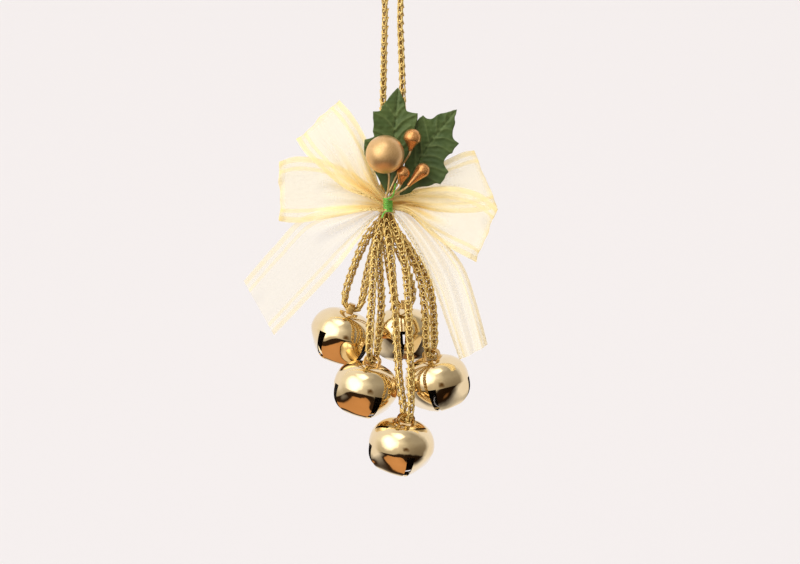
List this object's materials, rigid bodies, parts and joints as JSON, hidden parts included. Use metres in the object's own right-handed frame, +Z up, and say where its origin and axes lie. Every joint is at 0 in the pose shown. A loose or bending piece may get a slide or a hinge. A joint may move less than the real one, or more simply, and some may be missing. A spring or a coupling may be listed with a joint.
{
  "type": "christmas bell ornament",
  "caption": "Hanging cluster of gold jingle bells on doubled cords under a sheer ribbon bow, trimmed with holly leaves, a pearl and berries.",
  "frame": {"origin": "crown of the hanging loop, where a hook bears against the cord", "axes": "+Z up, -Y towards the viewer (the trimmed front), +X to the right"},
  "size_m": [0.097, 0.0564, 0.2],
  "materials": {
    "gold_cord": "knitted metallic yarn",
    "gold_thread": "wound metallic thread",
    "organza": "sheer woven organza with denser stripes",
    "leaf": "embossed satin fabric",
    "green_wire": "satin green paint",
    "gold_wire": "satin",
    "pearl": "pearlescent satin",
    "berry": "pearlescent satin",
    "polished_gold": "polished plating",
    "steel": "plain"
  },
  "bodies": {
    "root": {"hanging_loop": "gold_cord", "cord_binding": "gold_thread", "upper_ribbon": "organza", "lower_ribbon": "organza", "tail_ribbon": "organza", "upper_leaf": "leaf", "right_leaf": "leaf", "leaf_stems": "green_wire", "pearl": "pearl", "pearl_stem": "gold_wire", "upper_berry": "berry", "middle_berry": "berry", "right_berry": "berry", "berry_stems": "gold_wire", "green_wire": "green_wire"},
    "left_strands": {"left_cord": "gold_cord"},
    "left_bell": {"left_shell": "polished_gold", "left_lug": "polished_gold"},
    "left_ball": {"left_pea": "steel"},
    "lower_left_strands": {"lower_left_cord": "gold_cord"},
    "lower_left_bell": {"lower_left_shell": "polished_gold", "lower_left_lug": "polished_gold"},
    "lower_left_ball": {"lower_left_pea": "steel"},
    "right_strands": {"right_cord": "gold_cord"},
    "right_bell": {"right_shell": "polished_gold", "right_lug": "polished_gold"},
    "right_ball": {"right_pea": "steel"},
    "bottom_strands": {"bottom_cord": "gold_cord"},
    "bottom_bell": {"bottom_shell": "polished_gold", "bottom_lug": "polished_gold"},
    "bottom_ball": {"bottom_pea": "steel"},
    "back_strands": {"back_cord": "gold_cord"},
    "back_bell": {"back_shell": "polished_gold", "back_lug": "polished_gold"},
    "back_ball": {"back_pea": "steel"}
  },
  "joints": [
    {"name": "left_swing", "type": "hinge", "parent": "root", "child": "left_strands", "pos_m": [-0.0042, 0.0047, -0.0988], "axis": [0.7071, 0.7071, 0], "range_deg": [0, 25]},
    {"name": "left_rock", "type": "hinge", "parent": "left_strands", "child": "left_bell", "pos_m": [-0.0164, 0.006, -0.1348], "axis": [0.9432, 0, -0.3322], "range_deg": [-5, 5]},
    {"name": "left_rattle", "type": "slide", "parent": "left_bell", "child": "left_ball", "axis": [0.3314, -0.0698, 0.9409], "range_m": [0, 0.01]},
    {"name": "lower_left_swing", "type": "hinge", "parent": "root", "child": "lower_left_strands", "pos_m": [-0.0042, 0.0011, -0.0988], "axis": [-0.866, 0.5, 0], "range_deg": [0, 25]},
    {"name": "lower_left_rock", "type": "hinge", "parent": "lower_left_strands", "child": "lower_left_bell", "pos_m": [-0.0079, -0.0085, -0.1543], "axis": [0.4067, 0.9136, 0], "range_deg": [-5, 4]},
    {"name": "lower_left_rattle", "type": "slide", "parent": "lower_left_bell", "child": "lower_left_ball", "axis": [0.2396, -0.1392, 0.9608], "range_m": [0, 0.01]},
    {"name": "right_swing", "type": "hinge", "parent": "root", "child": "right_strands", "pos_m": [-0.0006, 0.0029, -0.0988], "axis": [0.7071, -0.7071, 0], "range_deg": [0, 25]},
    {"name": "right_rock", "type": "hinge", "parent": "right_strands", "child": "right_bell", "pos_m": [0.0148, -0.0038, -0.1521], "axis": [0.4067, 0.9136, 0], "range_deg": [-12, 12]},
    {"name": "right_rattle", "type": "slide", "parent": "right_bell", "child": "right_ball", "axis": [-0.1997, -0.1736, 0.9644], "range_m": [0, 0.01]},
    {"name": "bottom_swing", "type": "hinge", "parent": "root", "child": "bottom_strands", "pos_m": [-0.0015, 0.0002, -0.0988], "axis": [-1, 0, 0], "range_deg": [0, 30]},
    {"name": "bottom_rock", "type": "hinge", "parent": "bottom_strands", "child": "bottom_bell", "pos_m": [0.0049, -0.017, -0.1758], "axis": [0.4384, -0.8988, 0], "range_deg": [-12, 15]},
    {"name": "bottom_rattle", "type": "slide", "parent": "bottom_bell", "child": "bottom_ball", "axis": [0.157, -0.2756, 0.9484], "range_m": [0, 0.01]},
    {"name": "back_swing", "type": "hinge", "parent": "root", "child": "back_strands", "pos_m": [-0.0024, 0.0047, -0.0988], "axis": [1, 0, 0], "range_deg": [0, 30]},
    {"name": "back_rock", "type": "hinge", "parent": "back_strands", "child": "back_bell", "pos_m": [0.0043, 0.0184, -0.1342], "axis": [1, 0, 0], "range_deg": [-8, 10]},
    {"name": "back_rattle", "type": "slide", "parent": "back_bell", "child": "back_ball", "axis": [0, 0.1045, 0.9945], "range_m": [0, 0.01]}
  ]
}
